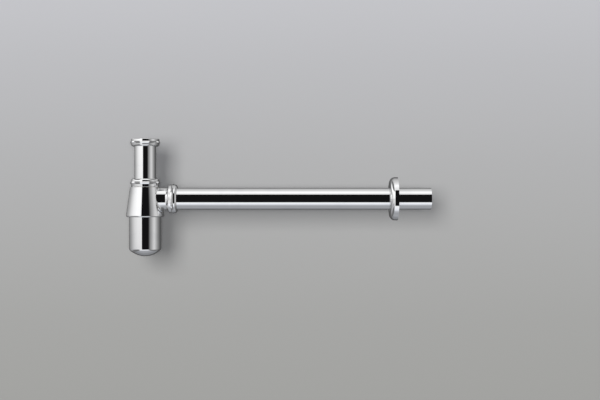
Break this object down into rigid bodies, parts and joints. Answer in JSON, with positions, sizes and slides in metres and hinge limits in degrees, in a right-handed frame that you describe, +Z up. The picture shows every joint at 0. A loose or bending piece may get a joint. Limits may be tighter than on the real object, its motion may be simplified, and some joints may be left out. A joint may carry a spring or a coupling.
{
  "type": "bottle trap",
  "caption": "Chrome bottle trap for a washbasin: union nut and inlet tube, conical head, screw-off cup, and a long horizontal outlet tube with a domed wall rosette.",
  "frame": {"origin": "centre of the union nut's mouth, on the inlet tube's axis", "axes": "+Z up along the inlet tube, +X along the outlet tube towards the wall, +Y away from the viewer"},
  "size_m": [0.4495, 0.0636, 0.1727],
  "materials": {
    "chrome_nut": "polished chrome plate on turned brass",
    "chrome_tube": "polished chrome plate on drawn brass tube",
    "chrome_body": "polished chrome plate on cast and turned brass",
    "chrome_sheet": "polished chrome plate on spun brass sheet",
    "rubber": "matt black moulded rubber",
    "ring_plastic": "natural white moulded plastic",
    "dip_plastic": "grey moulded plastic"
  },
  "bodies": {
    "inlet": {"inlet_tube": "chrome_tube", "inlet_flat_washer": "rubber"},
    "union_nut": {"inlet_union_nut": "chrome_nut"},
    "upper_gasket": {"body_gasket": "rubber"},
    "head": {"trap_head": "chrome_body", "dip_tube": "dip_plastic", "outlet_gasket": "rubber"},
    "upper_ring": {"body_slip_ring": "ring_plastic"},
    "upper_nut": {"body_nut": "chrome_nut"},
    "cup_ring": {"cup_seal": "rubber"},
    "cup": {"cleaning_cup": "chrome_body"},
    "side_ring": {"outlet_slip_ring": "ring_plastic"},
    "side_nut": {"outlet_nut": "chrome_nut"},
    "outlet": {"outlet_tube": "chrome_tube"},
    "rosette": {"wall_rosette": "chrome_sheet", "rosette_grip_ring": "rubber"}
  },
  "joints": [
    {"name": "union_nut_turn", "type": "hinge", "parent": "inlet", "child": "union_nut", "pos_m": [0, 0, -0.0055], "axis": [0, 0, 1], "continuous": true},
    {"name": "inlet_height", "type": "slide", "parent": "inlet", "child": "upper_gasket", "axis": [0, 0, 1], "range_m": [-0.036, 0.038]},
    {"name": "inlet_swivel", "type": "hinge", "parent": "upper_gasket", "child": "head", "pos_m": [0, 0, -0.0651], "axis": [0, 0, 1], "continuous": true},
    {"name": "upper_nut_rise", "type": "slide", "parent": "head", "child": "upper_ring", "axis": [0, 0, 1], "range_m": [0, 0.00693]},
    {"name": "upper_nut_turn", "type": "hinge", "parent": "upper_ring", "child": "upper_nut", "pos_m": [0, 0, -0.0647], "axis": [0, 0, 1], "range_deg": [0, 1080]},
    {"name": "cup_drop", "type": "slide", "parent": "head", "child": "cup_ring", "axis": [0, 0, -1], "range_m": [0, 0.0081]},
    {"name": "cup_turn", "type": "hinge", "parent": "cup_ring", "child": "cup", "pos_m": [0, 0, -0.115], "axis": [0, 0, -1], "range_deg": [0, 1440]},
    {"name": "side_nut_back", "type": "slide", "parent": "head", "child": "side_ring", "axis": [1, 0, 0], "range_m": [0, 0.00693]},
    {"name": "side_nut_turn", "type": "hinge", "parent": "side_ring", "child": "side_nut", "pos_m": [0.0414, 0, -0.0881], "axis": [1, 0, 0], "range_deg": [0, 1080]},
    {"name": "outlet_slide", "type": "slide", "parent": "head", "child": "outlet", "axis": [1, 0, 0], "range_m": [0, 0.01]},
    {"name": "rosette_slide", "type": "slide", "parent": "outlet", "child": "rosette", "axis": [1, 0, 0], "range_m": [-0.3, 0.045]}
  ],
  "couplings": [
    {"joint": "upper_nut_rise", "follows": "upper_nut_turn", "m_per_rad": 0.0003675},
    {"joint": "side_nut_back", "follows": "side_nut_turn", "m_per_rad": 0.0003675},
    {"joint": "cup_drop", "follows": "cup_turn", "m_per_rad": 0.0003183}
  ]
}
